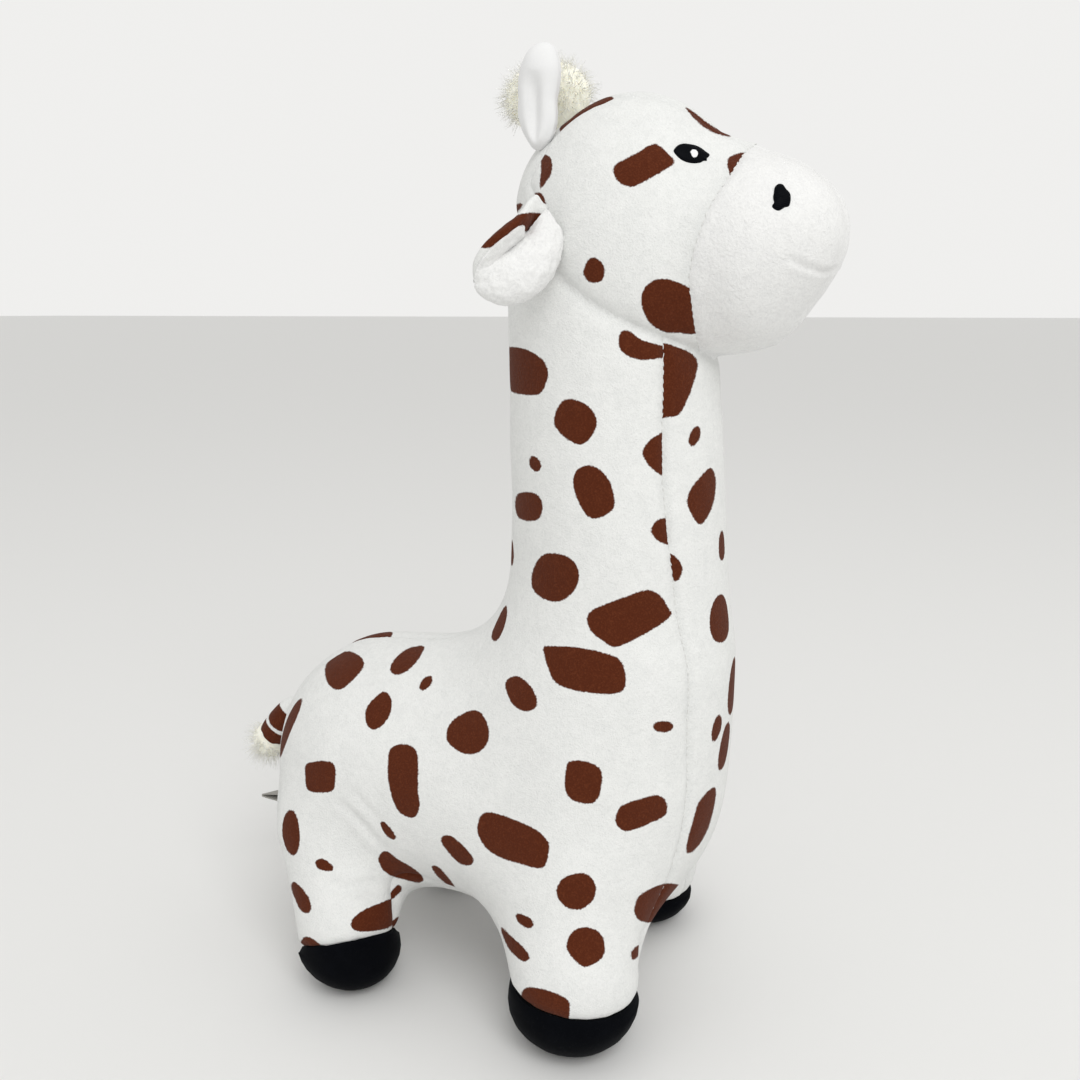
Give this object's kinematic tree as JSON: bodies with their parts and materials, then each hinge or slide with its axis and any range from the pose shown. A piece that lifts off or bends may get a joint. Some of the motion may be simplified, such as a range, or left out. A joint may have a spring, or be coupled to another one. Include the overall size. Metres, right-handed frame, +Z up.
{
  "type": "plush giraffe",
  "caption": "Standing plush giraffe with printed brown patches, black velvet hooves, soft horns and ears, a long-pile crest and a short tufted tail.",
  "frame": {"origin": "on the plane the hooves stand on, under the middle of the overall length and width", "axes": "+Z up through the neck, -Y the way the giraffe faces, +X its left side"},
  "size_m": [0.1306, 0.2307, 0.3237],
  "materials": {
    "white_plush": "short-pile plush, white with printed brown patches",
    "muzzle_plush": "plain white plush with a slightly longer, fuzzier pile",
    "black_velvet": "black short-nap velvet",
    "fibre_filling": "loose polyester fibre",
    "smooth_cloth": "smooth off-white knitted cloth",
    "cream_pile": "long cream pile",
    "spotted_plush": "short-pile plush printed brown",
    "black_thread": "black embroidery thread",
    "white_thread": "white embroidery thread",
    "grey_ribbon": "plain grey ribbon"
  },
  "bodies": {
    "torso": {"chest_belly_gusset": "white_plush", "side_panel_right": "white_plush", "side_panel_left": "white_plush", "filling_torso": "fibre_filling", "filling_neck": "fibre_filling", "filling_leg_front_right": "fibre_filling", "filling_leg_front_left": "fibre_filling", "filling_leg_rear_right": "fibre_filling", "filling_leg_rear_left": "fibre_filling", "filling_head": "fibre_filling", "hoof_front_right": "black_velvet", "hoof_front_left": "black_velvet", "hoof_rear_right": "black_velvet", "hoof_rear_left": "black_velvet", "crown_gusset": "white_plush", "head_side_right": "white_plush", "head_side_left": "white_plush", "muzzle_right": "muzzle_plush", "muzzle_left": "muzzle_plush", "eye_right": "black_thread", "eye_glint_right": "white_thread", "nostril_right": "black_thread", "eye_left": "black_thread", "eye_glint_left": "white_thread", "nostril_left": "black_thread", "crest_tuft": "cream_pile", "seam_tab": "grey_ribbon"},
    "ear_right": {"ear_back_right": "white_plush", "ear_lining_right": "muzzle_plush"},
    "ear_left": {"ear_back_left": "white_plush", "ear_lining_left": "muzzle_plush"},
    "horn_right": {"horn_right": "smooth_cloth"},
    "horn_left": {"horn_left": "smooth_cloth"},
    "tail": {"tail_cover": "spotted_plush", "tail_tuft": "cream_pile"}
  },
  "joints": [
    {"name": "ear_right_hinge", "type": "hinge", "parent": "torso", "child": "ear_right", "pos_m": [-0.03826, -0.03374, 0.26515], "axis": [-0.239, 0.458, 0.8562], "range_deg": [-50, 15], "stiffness_Nm_per_rad": 0.02},
    {"name": "ear_left_hinge", "type": "hinge", "parent": "torso", "child": "ear_left", "pos_m": [0.03826, -0.03374, 0.26515], "axis": [0.239, 0.458, 0.8562], "range_deg": [-15, 50], "stiffness_Nm_per_rad": 0.02},
    {"name": "horn_right_hinge", "type": "hinge", "parent": "torso", "child": "horn_right", "pos_m": [-0.0183, -0.02219, 0.29547], "axis": [0, 1, 0], "range_deg": [-35, 10], "stiffness_Nm_per_rad": 0.02},
    {"name": "horn_left_hinge", "type": "hinge", "parent": "torso", "child": "horn_left", "pos_m": [0.0183, -0.02219, 0.29547], "axis": [0, 1, 0], "range_deg": [-10, 35], "stiffness_Nm_per_rad": 0.02},
    {"name": "tail_hinge", "type": "hinge", "parent": "torso", "child": "tail", "pos_m": [0, 0.09289, 0.08467], "axis": [1, 0, 0], "range_deg": [-10, 75], "stiffness_Nm_per_rad": 0.03}
  ]
}
